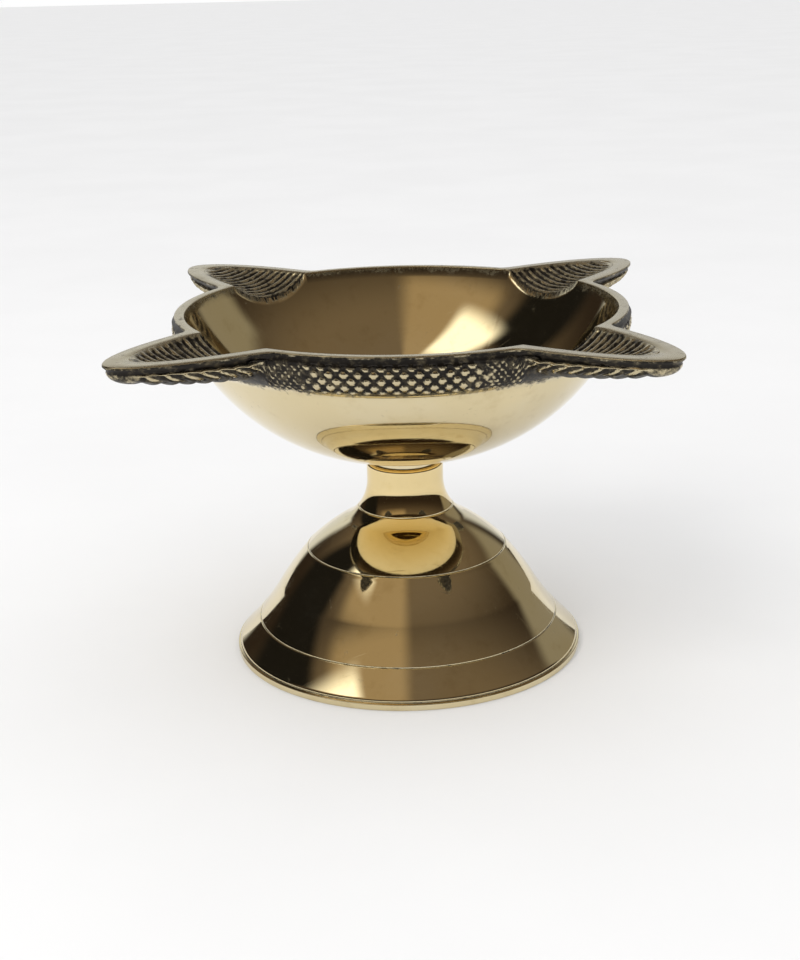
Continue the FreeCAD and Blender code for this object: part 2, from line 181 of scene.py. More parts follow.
class DIYA_PG_stage(bpy.types.PropertyGroup):
    """Camera, light and floor"""

    distance: length("Distance", "From the lamp's axis to the camera, level", 233.4)
    height: length("Height", "Height of the camera", 102.0)
    swing: angle("Swing", "Turn of the view about the lamp", 2.24)
    aim: angle("Aim", "How far the camera looks to the left of the lamp's axis", 0.2)
    pitch: angle("Pitch", "How far the camera looks down", 17.9)
    roll: angle("Roll", "Tilt of the camera", -1.37)
    lens: number("Lens", "Focal length in millimetres", 58.4)
    floor: colour("Floor", "Pale floor", (0.88, 0.88, 0.885))
    floor_size: length("Floor size", "Half the width of the floor", 8000.0)


GROUPS = {
    "diya_bowl": DIYA_PG_bowl,
    "diya_pedestal": DIYA_PG_pedestal,
    "diya_finish": DIYA_PG_finish,
    "diya_stage": DIYA_PG_stage,
}


# ---------------------------------------------------------------- sections


def arc(start, end, radius, left, count):
    """Points (radius, height) from start to end on an arc, without its first point."""
    (x0, y0), (x1, y1) = start, end
    run_x, run_y = x1 - x0, y1 - y0
    span = run_x * run_x + run_y * run_y
    rise = math.sqrt((radius * radius - span / 4) / span) * (1 if left else -1)
    cx, cy = (x0 + x1) / 2 - run_y * rise, (y0 + y1) / 2 + run_x * rise
    first = math.atan2(y0 - cy, x0 - cx)
    turn = math.remainder(math.atan2(y1 - cy, x1 - cx) - first, math.tau)
    steps = [first + turn * step / count for step in range(1, count + 1)]
    return [(cx + radius * math.cos(a), cy + radius * math.sin(a)) for a in steps]


def straight(start, end, count):
    """Points from start to end on a line, without its first point."""
    steps = [step / count for step in range(1, count + 1)]
    return [(start[0] + (end[0] - start[0]) * t, start[1] + (end[1] - start[1]) * t) for t in steps]


def turn_profile(bm, profile, sectors, steps, closed=False):
    """Turns a profile of (radius, height) right round the Z axis: one sector, then copies of it.

    Each point knows its row, which is its place in the profile, and its column, counted round the axis.
    """
    row_of = bm.verts.layers.int.new("row")
    column_of = bm.verts.layers.int.new("column")
    verts = [bm.verts.new((r, 0, z)) for r, z in profile]
    edges = [bm.edges.new(pair) for pair in zip(verts, verts[1:])]
    if closed:
        edges.append(bm.edges.new((verts[-1], verts[0])))
    for row, vert in enumerate(verts):
        vert[row_of] = row
    step = math.tau / (sectors * steps)
    bmesh.ops.spin(bm, geom=verts + edges, cent=(0, 0, 0), axis=(0, 0, 1), angle=step * steps, steps=steps,
                   use_duplicate=False)
    sector = bm.verts[:] + bm.edges[:] + bm.faces[:]
    bmesh.ops.spin(bm, geom=sector, cent=(0, 0, 0), axis=(0, 0, 1), angle=math.tau - step * steps,
                   steps=sectors - 1, use_duplicate=True)
    for vert in bm.verts:
        turn = math.atan2(vert.co.y, vert.co.x)
        vert[column_of] = round(turn / step) % (sectors * steps)
    return row_of, column_of


def tidy(bm, gap=1e-6):
    """Welds seams and poles, and turns all faces outwards."""
    bmesh.ops.remove_doubles(bm, verts=bm.verts, dist=gap)
    bmesh.ops.dissolve_degenerate(bm, edges=bm.edges, dist=gap)
    bmesh.ops.recalc_face_normals(bm, faces=bm.faces)


def finished(name, bm, material, body, slot, *replaced):
    """Makes the object of a finished mesh, smooth-shaded, and ties it to the frame."""
    mesh = bpy.data.meshes.new(name)
    bm.to_mesh(mesh)
    bm.free()
    mesh.shade_smooth()
    piece = bpy.data.objects.new(name, mesh)
    bpy.context.scene.collection.objects.link(piece)
    mesh.materials.append(material)
    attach(piece, body)
    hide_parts(*replaced)
    return piece


# ---------------------------------------------------------------- shading


def node(tree, kind, values=(), **settings):
    """A shader node with some of its settings and plain input values."""
    made = tree.nodes.new(kind)
    for key, value in settings.items():
        setattr(made, key, value)
    for socket, value in dict(values).items():
        made.inputs[socket].default_value = value
    return made


def wire(tree, source, target):
    tree.links.new(source, target)
    return target


def math_node(tree, operation, first, second=None, third=None, clamp=False):
    made = node(tree, "ShaderNodeMath", operation=operation, use_clamp=clamp)
    for socket, value in zip(made.inputs, (first, second, third)):
        if isinstance(value, bpy.types.NodeSocket):
            tree.links.new(value, socket)
        elif value is not None:
            socket.default_value = value
    return made.outputs[0]


def map_range(tree, value, low, high, to_low=0.0, to_high=1.0):
    values = {1: low, 2: high, 3: to_low, 4: to_high}
    made = node(tree, "ShaderNodeMapRange", values, interpolation_type="SMOOTHSTEP")
    tree.links.new(value, made.inputs[0])
    return made.outputs[0]


def mix_colour(tree, amount, first, second):
    made = node(tree, "ShaderNodeMix", data_type="RGBA")
    for socket, value in ((made.inputs[0], amount), (made.inputs[6], first), (made.inputs[7], second)):
        if isinstance(value, bpy.types.NodeSocket):
            tree.links.new(value, socket)
        else:
            socket.default_value = value
    return made.outputs[2]


def noise(tree, where, scale, detail=4.0, roughness=0.55):
    made = node(tree, "ShaderNodeTexNoise", {"Scale": scale, "Detail": detail, "Roughness": roughness})
    tree.links.new(where, made.inputs["Vector"])
    return made.outputs["Fac"]


def group(name, inputs, outputs):
    """An empty node group, its input node and its output node."""
    tree = bpy.data.node_groups.new(name, "ShaderNodeTree")
    for label, kind, default in inputs:
        socket = tree.interface.new_socket(name=label, in_out="INPUT", socket_type=kind)
        socket.default_value = default
    for label, kind in outputs:
        tree.interface.new_socket(name=label, in_out="OUTPUT", socket_type=kind)
    return tree, node(tree, "NodeGroupInput"), node(tree, "NodeGroupOutput")


FLOAT, COLOUR = "NodeSocketFloat", "NodeSocketColor"


def brass_tone_group():
    """Slow changes of tint over polished brass: warm, pale and slightly tarnished patches."""
    tree, given, out = group(
        "Brass tone",
        [("Brass", COLOUR, (1, 1, 1, 1)), ("Pale", COLOUR, (1, 1, 1, 1)), ("Aged", COLOUR, (1, 1, 1, 1)),
         ("Tarnish", FLOAT, 0.3)],
        [("Color", COLOUR), ("Tarnished", FLOAT)],
    )
    where = node(tree, "ShaderNodeTexCoord").outputs["Object"]
    cloud = noise(tree, where, 70.0, 5.0)
    speck = noise(tree, where, 900.0, 3.0, 0.7)
    blotch = noise(tree, where, 240.0, 6.0, 0.62)
    pale = map_range(tree, cloud, 0.42, 0.66, 0.0, 0.55)
    tinted = mix_colour(tree, pale, given.outputs["Brass"], given.outputs["Pale"])
    dull = math_node(tree, "MULTIPLY", map_range(tree, blotch, 0.52, 0.74), given.outputs["Tarnish"])
    dull = math_node(tree, "MULTIPLY_ADD", map_range(tree, speck, 0.66, 0.78), 0.25, dull, clamp=True)
    wire(tree, mix_colour(tree, dull, tinted, given.outputs["Aged"]), out.inputs["Color"])
    wire(tree, dull, out.inputs["Tarnished"])
    return tree


def turning_group():
    """Fine rings left by the lathe and the buffing wheel, all centred on the lamp's axis."""
    tree, _, out = group("Turning marks", [], [("Height", FLOAT), ("Haze", FLOAT)])
    where = node(tree, "ShaderNodeTexCoord").outputs["Object"]
    split = node(tree, "ShaderNodeSeparateXYZ")
    wire(tree, where, split.inputs[0])
    flat = node(tree, "ShaderNodeVectorMath", {1: (1, 1, 0)}, operation="MULTIPLY")
    wire(tree, where, flat.inputs[0])
    size = node(tree, "ShaderNodeVectorMath", operation="LENGTH")
    wire(tree, flat.outputs[0], size.inputs[0])
    along = math_node(tree, "MULTIPLY_ADD", size.outputs["Value"], 0.83, split.outputs[2])
    rung = math_node(tree, "MULTIPLY", along, TURNING_FINENESS)
    unit = node(tree, "ShaderNodeVectorMath", operation="NORMALIZE")
    wire(tree, flat.outputs[0], unit.inputs[0])
    turn = node(tree, "ShaderNodeSeparateXYZ")
    wire(tree, unit.outputs[0], turn.inputs[0])
    rolled = node(tree, "ShaderNodeCombineXYZ")
    wire(tree, math_node(tree, "MULTIPLY", turn.outputs[0], 1.6), rolled.inputs[0])
    wire(tree, math_node(tree, "MULTIPLY", turn.outputs[1], 1.6), rolled.inputs[1])
    wire(tree, rung, rolled.inputs[2])
    lines = noise(tree, rolled.outputs[0], 1.0, 3.0, 0.6)
    wire(tree, lines, out.inputs["Height"])
    wire(tree, map_range(tree, lines, 0.45, 0.8), out.inputs["Haze"])
    return tree


def handling_group():
    """Smudges and hairline scratches from handling and wiping."""
    tree, _, out = group("Handling", [], [("Smudge", FLOAT), ("Scratch", FLOAT)])
    where = node(tree, "ShaderNodeTexCoord").outputs["Object"]
    smear = noise(tree, where, 130.0, 7.0, 0.6)
    wire(tree, map_range(tree, smear, 0.5, 0.78), out.inputs["Smudge"])
    total = None
    for turn, squeeze in ((0.5, 40.0), (1.9, 55.0), (2.6, 34.0)):
        tilt = (turn, turn * 0.7, turn * 1.3)
        lie = node(tree, "ShaderNodeMapping", {"Rotation": tilt, "Scale": (1.0, squeeze, 1.0)})
        wire(tree, where, lie.inputs["Vector"])
        hair = map_range(tree, noise(tree, lie.outputs[0], 90.0, 2.0), 0.68, 0.76)
        total = hair if total is None else math_node(tree, "MAXIMUM", total, hair)
    wire(tree, total, out.inputs["Scratch"])
    return tree


def patina_and_shade_group():
    """Dark patina that fills hollows and is rubbed off raised edges, and the dried polish among it. The same
    mask also paints shade under the lip and under the band's ledge.
    """
    tree, given, out = group("Patina and shade", [("Hollow", FLOAT, 0.0)], [("Mask", FLOAT), ("Dried polish", FLOAT)])
    where = node(tree, "ShaderNodeTexCoord").outputs["Object"]
    grain = noise(tree, where, 1500.0, 4.0, 0.7)
    drift = noise(tree, where, 420.0, 3.0)
    uneven = math_node(tree, "SUBTRACT", grain, 0.5)
    jitter = math_node(tree, "MULTIPLY_ADD", uneven, 1.1, given.outputs["Hollow"])
    jitter = math_node(tree, "MULTIPLY_ADD", math_node(tree, "SUBTRACT", drift, 0.5), 0.9, jitter)
    wire(tree, map_range(tree, jitter, 0.22, 0.66), out.inputs["Mask"])
    dried = noise(tree, where, 800.0, 5.0, 0.7)
    wire(tree, map_range(tree, dried, 0.48, 0.7), out.inputs["Dried polish"])
    return tree


def placed(tree, shared, **values):
    """A shared node group placed in a material, with its own values."""
    made = node(tree, "ShaderNodeGroup", node_tree=shared)
    for label, value in values.items():
        made.inputs[label].default_value = value
    return made


def shared_groups():
    """The shared effects by name, each built once."""
    makers = {
        "Brass tone": brass_tone_group,
        "Turning marks": turning_group,
        "Handling": handling_group,
        "Patina and shade": patina_and_shade_group,
    }
    return {name: bpy.data.node_groups.get(name) or make() for name, make in makers.items()}


def brass(name, roughness=0.045, haze=0.05, lines=0.35, tarnish=None):
    """A brass finish. Four point attributes change it, and each is 0 on a mesh that has none."""
    finish = bpy.context.scene.diya_finish
    shared = shared_groups()
    material = bpy.data.materials.new(name)
    material.use_nodes = True
    tree = material.node_tree
    shader = tree.nodes["Principled BSDF"]

    warm, pale, aged = (tuple(shade) + (1,) for shade in (finish.brass, finish.pale, finish.aged))
    amount = finish.tarnish if tarnish is None else tarnish
    tone = placed(tree, shared["Brass tone"], Brass=warm, Pale=pale, Aged=aged, Tarnish=amount)
    turning = placed(tree, shared["Turning marks"])
    handling = placed(tree, shared["Handling"])
    patina = placed(tree, shared["Patina and shade"])
    marks = {
        key: node(tree, "ShaderNodeAttribute", attribute_name=key).outputs["Fac"]
        for key in ("hollow", "cut", "satin", "painted_reflection")
    }
    wire(tree, marks["hollow"], patina.inputs["Hollow"])

    # One mask darkens both the real patina and the painted shade.
    mask = patina.outputs["Mask"]
    dark, grime = tuple(finish.patina) + (1,), tuple(finish.grime) + (1,)
    deep = mix_colour(tree, patina.outputs["Dried polish"], dark, grime)
    brushed = tuple(finish.satin) + (1,)
    dulled = math_node(tree, "MAXIMUM", marks["satin"], math_node(tree, "MULTIPLY", marks["cut"], 0.8))
    rubbed = mix_colour(tree, math_node(tree, "MULTIPLY", dulled, 0.85), tone.outputs["Color"], brushed)
    # Painted reflection: amber mixed in where the bowl and the pedestal mirror each other.
    rubbed = mix_colour(tree, marks["painted_reflection"], rubbed, tuple(finish.painted_reflection) + (1,))
    wire(tree, mix_colour(tree, mask, rubbed, deep), shader.inputs["Base Color"])

    dull = math_node(tree, "MULTIPLY_ADD", tone.outputs["Tarnished"], 0.10, roughness)
    dull = math_node(tree, "MULTIPLY_ADD", handling.outputs["Smudge"], haze, dull)
    dull = math_node(tree, "MULTIPLY_ADD", handling.outputs["Scratch"], 0.05, dull)
    dull = math_node(tree, "MULTIPLY_ADD", turning.outputs["Haze"], haze * 0.6, dull)
    dull = math_node(tree, "MULTIPLY_ADD", marks["cut"], 0.16, dull)
    dull = math_node(tree, "MULTIPLY_ADD", marks["satin"], 0.22, dull)
    dull = math_node(tree, "MULTIPLY_ADD", mask, 0.25, dull, clamp=True)
    wire(tree, dull, shader.inputs["Roughness"])

    metal = math_node(tree, "MULTIPLY_ADD", mask, -0.45, 1.0, clamp=True)
    wire(tree, metal, shader.inputs["Metallic"])

    where = node(tree, "ShaderNodeTexCoord").outputs["Object"]
    pits = noise(tree, where, 2600.0, 2.0)
    height = math_node(tree, "MULTIPLY", turning.outputs["Height"], lines)
    height = math_node(tree, "MULTIPLY_ADD", handling.outputs["Scratch"], -0.5, height)
    rough = math_node(tree, "MAXIMUM", marks["cut"], marks["satin"])
    height = math_node(tree, "MULTIPLY_ADD", math_node(tree, "MULTIPLY", pits, rough), 6.0, height)
    bump = node(tree, "ShaderNodeBump", {"Strength": 0.35, "Distance": 0.000012})
    wire(tree, height, bump.inputs["Height"])
    wire(tree, bump.outputs[0], shader.inputs["Normal"])
    return material


# ---------------------------------------------------------------- pedestal


def bell(sizes, inset=0.0, drop=0.0):
    """Corners of the bell's section from foot to shoulder, and its three bends."""
    corners = [
        (FOOT_RADIUS - sizes.foot_step - inset, sizes.foot_edge + sizes.foot_step - drop),
        (sizes.waist_radius - inset, sizes.waist_height - drop),
        (sizes.break_radius - inset, sizes.break_height - drop),
        (sizes.shoulder_radius - inset, sizes.shoulder_height - drop),
    ]
    return corners, ((sizes.flare_bend, False), (sizes.skirt_bend, True), (sizes.dome_bend, True))


def bell_points(sizes, counts, inset=0.0, drop=0.0):
    corners, bends = bell(sizes, inset, drop)
    points = [corners[0]]
    for start, end, (radius, left), count in zip(corners, corners[1:], bends, counts):
        points += arc(start, end, radius, left, count)
    return points


def neck_start(sizes):
    across = sizes.neck_bend - (sizes.shoulder_radius - sizes.neck_radius)
    return sizes.shoulder_height + math.sqrt(sizes.neck_bend ** 2 - across ** 2)


def scribe(profile, heights, half_width, depth):
    """Cuts fine turned lines into a rising profile, and says how hollow each point is."""
    cut = [(point, 0.0) for point in profile]
    for height in heights:
        index = next(i for i in range(1, len(cut)) if cut[i - 1][0][1] <= height < cut[i][0][1])
        (x0, y0), (x1, y1) = cut[index - 1][0], cut[index][0]
        run = math.hypot(x1 - x0, y1 - y0)
        along = ((x1 - x0) / run, (y1 - y0) / run)
        share_up = (height - y0) / (y1 - y0)
        middle = (x0 + (x1 - x0) * share_up, height)
        inward = (-along[1], along[0])
        line = []
        for step in (-1.5, -1.0, -0.6, -0.3, 0.0, 0.3, 0.6, 1.0, 1.5):
            sunk = depth * max(0.0, 1.0 - step * step)
            place = [middle[i] + along[i] * half_width * step + inward[i] * sunk for i in (0, 1)]
            line.append((tuple(place), 0.6 * max(0.0, 1.0 - abs(step))))
        reach = 1.7 * half_width
        cut = [c for c in cut if math.hypot(c[0][0] - middle[0], c[0][1] - middle[1]) > reach]
        index = next(i for i in range(1, len(cut)) if cut[i - 1][0][1] <= height < cut[i][0][1])
        cut[index:index] = line
    return [point for point, _ in cut], [hollow for _, hollow in cut]


class DIYA_OT_pedestal(bpy.types.Operator):
    """Turn the hollow pedestal with its scribed lines and its tapped neck"""

    bl_idname = "diya.pedestal"
    bl_label = "Pedestal"

    def execute(self, context):
        sizes = context.scene.diya_pedestal
        outside = bell_points(sizes, (34, 16, 22))
        start = neck_start(sizes)
        outside += arc(outside[-1], (sizes.neck_radius, start), sizes.neck_bend, False, 18)
        outside += straight(outside[-1], (sizes.neck_radius, NECK_TOP - sizes.neck_round), 4)
        heights = (sizes.low_scribe, sizes.break_height, sizes.high_scribe)
        outside, hollows = scribe(outside, heights, sizes.scribe_width, sizes.scribe_depth)

        edge = 0.18 * MM
        rounding = 0.12 * MM
        foot = [(FOOT_RADIUS - sizes.foot_width, 0), (FOOT_RADIUS - edge, 0)]
        foot += arc(foot[-1], (FOOT_RADIUS, edge), edge, True, 4)
        foot += straight(foot[-1], (FOOT_RADIUS, sizes.foot_edge - rounding), 4)
        foot += arc(foot[-1], (FOOT_RADIUS - rounding, sizes.foot_edge), rounding, True, 3)
        step_in = FOOT_RADIUS - sizes.foot_step
        foot += [(step_in + 0.05 * MM, sizes.foot_edge), (step_in - 0.06 * MM, sizes.foot_edge + 0.07 * MM)]
        foot += [(step_in - 0.04 * MM, sizes.foot_edge + 0.2 * MM)]
        foot_hollows = [0.0] * (len(foot) - 3) + [0.2, 0.5, 0.2]

        top = arc(outside[-1], (sizes.neck_radius - sizes.neck_round, NECK_TOP), sizes.neck_round, True, 6)
        root = sizes.bore_radius + sizes.thread_depth
        ceiling = sizes.shoulder_height - sizes.shell_drop / 2
        top += straight(top[-1], (root + sizes.mouth_chamfer, NECK_TOP), 4)
        top += straight(top[-1], (root, NECK_TOP - sizes.mouth_chamfer), 2)
        top += straight(top[-1], (root, ceiling), 12)
        inside = bell_points(sizes, (26, 12, 18), sizes.shell_inset, sizes.shell_drop)
        inside = [(FOOT_RADIUS - sizes.foot_width, 0)] + inside
        inside = straight(top[-1], (inside[-1][0], ceiling), 4) + inside[::-1]
        profile = foot + outside + top + inside
        marks = foot_hollows + hollows + [0.0] * len(top) + [0.3] * len(inside)
        rough = [0.0] * (len(foot) + len(outside) + len(top)) + [1.0] * len(inside)

        bm = bmesh.new()
        hollow = bm.verts.layers.float.new("hollow")
        satin = bm.verts.layers.float.new("satin")
        painted_reflection = bm.verts.layers.float.new("painted_reflection")
        row_of, _ = turn_profile(bm, profile[:-1], SECTORS, PEDESTAL_STEPS, closed=True)
        for vert in bm.verts:
            vert[hollow] = marks[vert[row_of]]
            vert[satin] = rough[vert[row_of]]
            # Painted reflection: half-strength amber on the neck from the shoulder up, where it faces the
            # bowl's underside.
            vert[painted_reflection] = 0.5 * float(smooth_step(vert.co.z, sizes.shoulder_height, NECK_REFLECTION_TOP))
        add_neck_thread(bm, sizes, ceiling)
        tidy(bm)
        finished("pedestal_turned", bm, brass("Turned brass"), "pedestal", "pedestal_brass", "pedestal")
        return {"FINISHED"}


def add_neck_thread(bm, sizes, bottom):
    """The thread's ridge inside the neck, a closed helical bar whose back lies in the bore's wall."""
    crest = sizes.bore_radius
    root = sizes.bore_radius + sizes.thread_depth + 0.1 * MM
    half_crest, half_root = 0.12 * MM, 0.5 * MM
    steps = 40
    turns = int((NECK_TOP - 0.9 * MM - bottom) / sizes.thread_pitch)
    low = bottom + half_root + 0.1 * MM
    lower = [(root, low - half_root), (crest, low - half_crest)]
    section = lower + [(crest, low + half_crest), (root, low + half_root)]
    bar = bmesh.new()
    start = bar.faces.new([bar.verts.new((r, 0, z)) for r, z in section])
    bmesh.ops.spin(bar, geom=[start], cent=(0, 0, 0), axis=(0, 0, 1), dvec=(0, 0, sizes.thread_pitch / steps),
                   angle=math.tau * turns, steps=steps * turns, use_duplicate=False)
    mesh = bpy.data.meshes.new("thread")
    bar.to_mesh(mesh)
    bar.free()
    bm.from_mesh(mesh)
    bpy.data.meshes.remove(mesh)


# ---------------------------------------------------------------- bowl


def smooth_max(first, second, reach):
    blend = np.clip(1 - np.abs(first - second) / reach, 0, None)
    return np.maximum(first, second) + blend * blend * reach / 4


def smooth_step(value, low, high):
    t = np.clip((value - low) / (high - low), 0, 1)
    return t * t * (3 - 2 * t)


def root_between(function, low, high, count=44):
    """Where a falling function of radius crosses zero, for all columns at once."""
    low, high = np.array(low, float), np.array(high, float)
    for _ in range(count):
        middle = (low + high) / 2
        above = function(middle) > 0
        low, high = np.where(above, middle, low), np.where(above, high, middle)
    return (low + high) / 2


class BowlShape:
    """The bowl as formulas. A column is a direction seen from above, measured from the nearest spout."""

    def __init__(self, sizes, columns):
        self.sizes = sizes
        self.columns = columns
        turned = np.mod(columns - FIRST_SPOUT + QUARTER / 2, QUARTER) - QUARTER / 2
        self.off = turned
        self.cos, self.sin = np.cos(turned), np.sin(np.abs(turned))
        self.lip_foot = RIM - sizes.lip_thickness
        self.band_foot = RIM - sizes.band_height
        self.floor = SEAT + sizes.floor
        self.bottom = SEAT + sizes.foot_height
        across, deep = sizes.cavity_radius - sizes.flat, RIM - self.floor
        self.cavity_bend = (across ** 2 + deep ** 2) / (2 * deep)
        across, deep = sizes.side_radius - sizes.flat, self.band_foot - self.bottom
        self.side_bend = (across ** 2 + deep ** 2) / (2 * deep)
        self.lip = self.outline(0.0, sizes.lip_radius)
        self.belly = self.outline(sizes.lip_overhang, sizes.band_radius)
        self.channel_edge = self.channel_outline()
        self.crease = self.crease_line()

    def leaf(self, along, inset):
        """Half-width of a spout's outline at a distance from the axis."""
        middle = self.sizes.spout_reach - self.sizes.leaf_length
        x = np.clip((along - middle) / (self.sizes.leaf_length - inset), -1, 1)
        return (self.sizes.leaf_half_width - inset) * (1 - x * x) ** self.sizes.leaf_point

    def outline(self, inset, circle):
        """Radius of the rim's outline in each column: a circle with four leaves."""
        reach = self.sizes.spout_reach - inset

        def gap(r):
            return self.leaf(r * self.cos, inset) - r * self.sin + np.where(r * self.cos < reach, 0, -1)

        farthest = np.full_like(self.off, reach / np.cos(QUARTER / 2))
        leaf = root_between(gap, np.full_like(self.off, 5 * MM), farthest)
        return smooth_max(leaf, np.full_like(leaf, circle), self.sizes.fillet)

    def cavity_depth(self, r):
        reach = np.clip(r - self.sizes.flat, 0, self.cavity_bend)
        height = self.floor + self.cavity_bend - np.sqrt(self.cavity_bend ** 2 - reach ** 2)
        return RIM - height

    def channel_depth(self, r):
        """Depth of a wick channel below the rim, negative outside it."""
        along, aside = r * self.cos, r * self.sin
        end = self.sizes.spout_reach - self.sizes.tip_margin
        radius = self.sizes.channel_radius
        side = radius - np.sqrt(np.clip(radius ** 2 - aside ** 2, 0, None))
        return (end - along) * math.tan(self.sizes.channel_slope) - side

    def channel_outline(self):
        cavity = np.full_like(self.off, self.sizes.cavity_radius)
        edge = root_between(self.channel_depth, cavity * 0.5, np.full_like(self.off, self.sizes.spout_reach))
        return smooth_max(edge, cavity, 0.5 * MM) - 0.5 * MM / 4 * (edge < cavity - 0.5 * MM)

    def crease_line(self):
        def fall(r):
            return self.cavity_depth(r) - np.maximum(self.channel_depth(r), 0)

        rim = np.full_like(self.off, self.sizes.cavity_radius)
        return np.minimum(root_between(fall, np.full_like(self.off, 20 * MM), rim), self.channel_edge)

    def keel(self, along):
        """Depth of a spout's underside on its centre line, below the lip."""
        reach = self.sizes.spout_reach - self.sizes.lip_overhang
        share = np.clip((reach - along) / self.sizes.keel_run, 0, 1)
        return (self.lip_foot - self.band_foot) * share ** self.sizes.keel_bluntness

    def flank_depth(self, r):
        """Depth of the band and the spouts' bellies below the lip."""
        along, aside = r * self.cos, r * self.sin
        half = np.maximum(self.leaf(along, self.sizes.lip_overhang), 1e-6)
        round_over = np.sqrt(np.clip(1 - (aside / half) ** 2, 0, 1))
        spout = self.keel(along) * round_over
        inner, outer = self.sizes.band_foot_radius, self.sizes.band_radius
        reach = np.clip((r - inner) / (outer - inner), 0, 1)
        band = (self.lip_foot - self.band_foot) * np.sqrt(1 - reach ** 2)
        return np.minimum(smooth_max(spout, band, 0.8 * MM), self.lip_foot - self.band_foot)


def bowl_rows(shape):
    """All rows of the bowl's surface, from the pole inside to the pole outside: radius, height, zone."""
    sizes = shape.sizes
    ones = np.ones_like(shape.off)
    rows = []

    def add(radius, height, zone, dip=0.0):
        rows.append((radius * ones, height * ones, zone, dip * ones))

    add(0, shape.floor, "cavity")
    for step in range(1, 4):
        add(sizes.flat * step / 3, shape.floor, "cavity")
    swing = np.arcsin((shape.crease - sizes.flat) / shape.cavity_bend)
    count = 28
    for step in range(1, count + 1):
        turn = swing * step / count
        r = sizes.flat + shape.cavity_bend * np.sin(turn)
        add(r, RIM - shape.cavity_depth(r), "cavity")

    end = sizes.spout_reach - sizes.tip_margin
    ribs = int((end - 30 * MM) / sizes.rib_pitch)
    comb = ((0.0, 0.0), (0.14, 0.9), (0.3, 1.0), (0.5, 0.95), (0.7, 0.0))
    for rib in range(ribs, 0, -1):
        for at, sunk in comb:
            along = end - sizes.rib_pitch * (rib - at)
            r = np.clip(along / shape.cos, shape.crease, shape.channel_edge)
            inside = (r > shape.crease + 1e-6) & (r < shape.channel_edge - 1e-6)
            fade = smooth_step(shape.channel_depth(r), 0.05 * MM, 0.5 * MM)
            depth = np.clip(shape.channel_depth(r), 0, None)
            depth = np.where(r <= shape.crease + 1e-6, shape.cavity_depth(r), depth)
            dip = sunk * fade * inside
            add(r, RIM - depth - sizes.rib_depth * dip, "channel", 0.4 + 0.6 * sunk * fade)

    soft = sizes.lip_round
    easing = soft * 0.8
    for turn in (0, 45, 90):
        a = math.radians(turn)
        add(shape.channel_edge + easing * (1 - math.cos(a)), RIM - easing * (1 - math.sin(a)), "margin")
    inner = shape.channel_edge + easing
    outer = shape.lip - soft
    add((inner + outer) / 2, RIM, "margin")
    # Painted shade: the lip's outer rounding, its edge and the undercut below it grow darker as they turn
    # under.
    for turn in (0, 30, 60, 90):
        a = math.radians(turn)
        add(outer + soft * math.sin(a), RIM - soft * (1 - math.cos(a)), "margin", 0.5 * (turn / 90) ** 2)
    edge = sizes.lip_edge
    add(shape.lip, RIM - edge, "lip", 0.6)
    add(shape.lip - 0.16 * MM, RIM - edge - 0.12 * MM, "lip", 0.85)
    near_spout = smooth_step(shape.lip - sizes.lip_radius, 0.3 * MM, 3 * MM)
    away = smooth_step(sizes.spout_reach - shape.lip * shape.cos, 0, 6 * MM)
    under = sizes.undercut * (0.3 + 0.7 * near_spout * away)
    add(shape.belly - under, shape.lip_foot + 0.1 * MM, "lip", 1.0)

    count = 34
    inner = sizes.band_foot_radius
    for step in range(count + 1):
        turn = math.pi / 2 * step / count
        r = inner + (shape.belly - inner) * math.cos(turn)
        add(r, shape.lip_foot - shape.flank_depth(r), "flank", step / count)
    rows[-1][1][:] = shape.band_foot
    # Painted shadow: the ledge under the band is darkened.
    add(sizes.side_radius + 0.1 * MM, shape.band_foot, "ledge", 0.7)
    count = 26
    swing = math.asin((sizes.side_radius - sizes.flat) / shape.side_bend)
    stop = math.asin((sizes.foot_radius - sizes.flat) / shape.side_bend)
    for step in range(count + 1):
        turn = swing + (stop - swing) * step / count
        r = sizes.flat + shape.side_bend * math.sin(turn)
        z = shape.bottom + shape.side_bend * (1 - math.cos(turn))
        # Painted shadow: the side's first row, just under the band's ledge, is darkened.
        add(r, z, "side", 0.6 if step == 0 else 0.0)
    last = rows[-1][1][0]
    add(sizes.foot_radius, (last + SEAT) / 2, "foot")
    add(sizes.foot_radius, SEAT + 0.12 * MM, "foot")
    add(sizes.foot_radius - 0.12 * MM, SEAT, "foot")
    add(4.5 * MM, SEAT, "foot")
    add(3.4 * MM, SEAT, "foot")
    add(3.4 * MM, SEAT + 1.2 * MM, "foot")
    add(0, SEAT + 1.2 * MM, "foot")
    return rows


def ridges(value):
    """1 in the middle of each whole step of value, 0 at its ends."""
    return 1 - np.abs(np.mod(value, 1) * 2 - 1)


def knurl(shape, across, below, ends):
    """The knurl on the band: how far each point is sunk, from 0 on a diamond's top to 1 in a groove. The same
    value darkens the band, with painted shade just under the lip.
    """
    pitch = shape.sizes.knurl_pitch
    sides = [1 - ridges((across + lean * below) / pitch + 0.5 * (lean > 0)) for lean in (1, -1)]
    away = (sides[0] ** 3 + sides[1] ** 3) ** (1 / 3)
    diamonds = smooth_step(away, 0.5, 0.88)
    fine = [1 - ridges((across + lean * below) * 1.9 / pitch) for lean in (1, -1)]
    stipple = 0.3 + 0.6 * smooth_step(np.maximum(*fine), 0.3, 0.85)
    # Painted shade: the band's top, just under the lip, is sunk and darkened.
    shadow = 1 - smooth_step(below, 0.15 * MM, 0.95 * MM)
    return np.maximum(diamonds * (1 - ends) + stipple * ends, 0.9 * shadow)


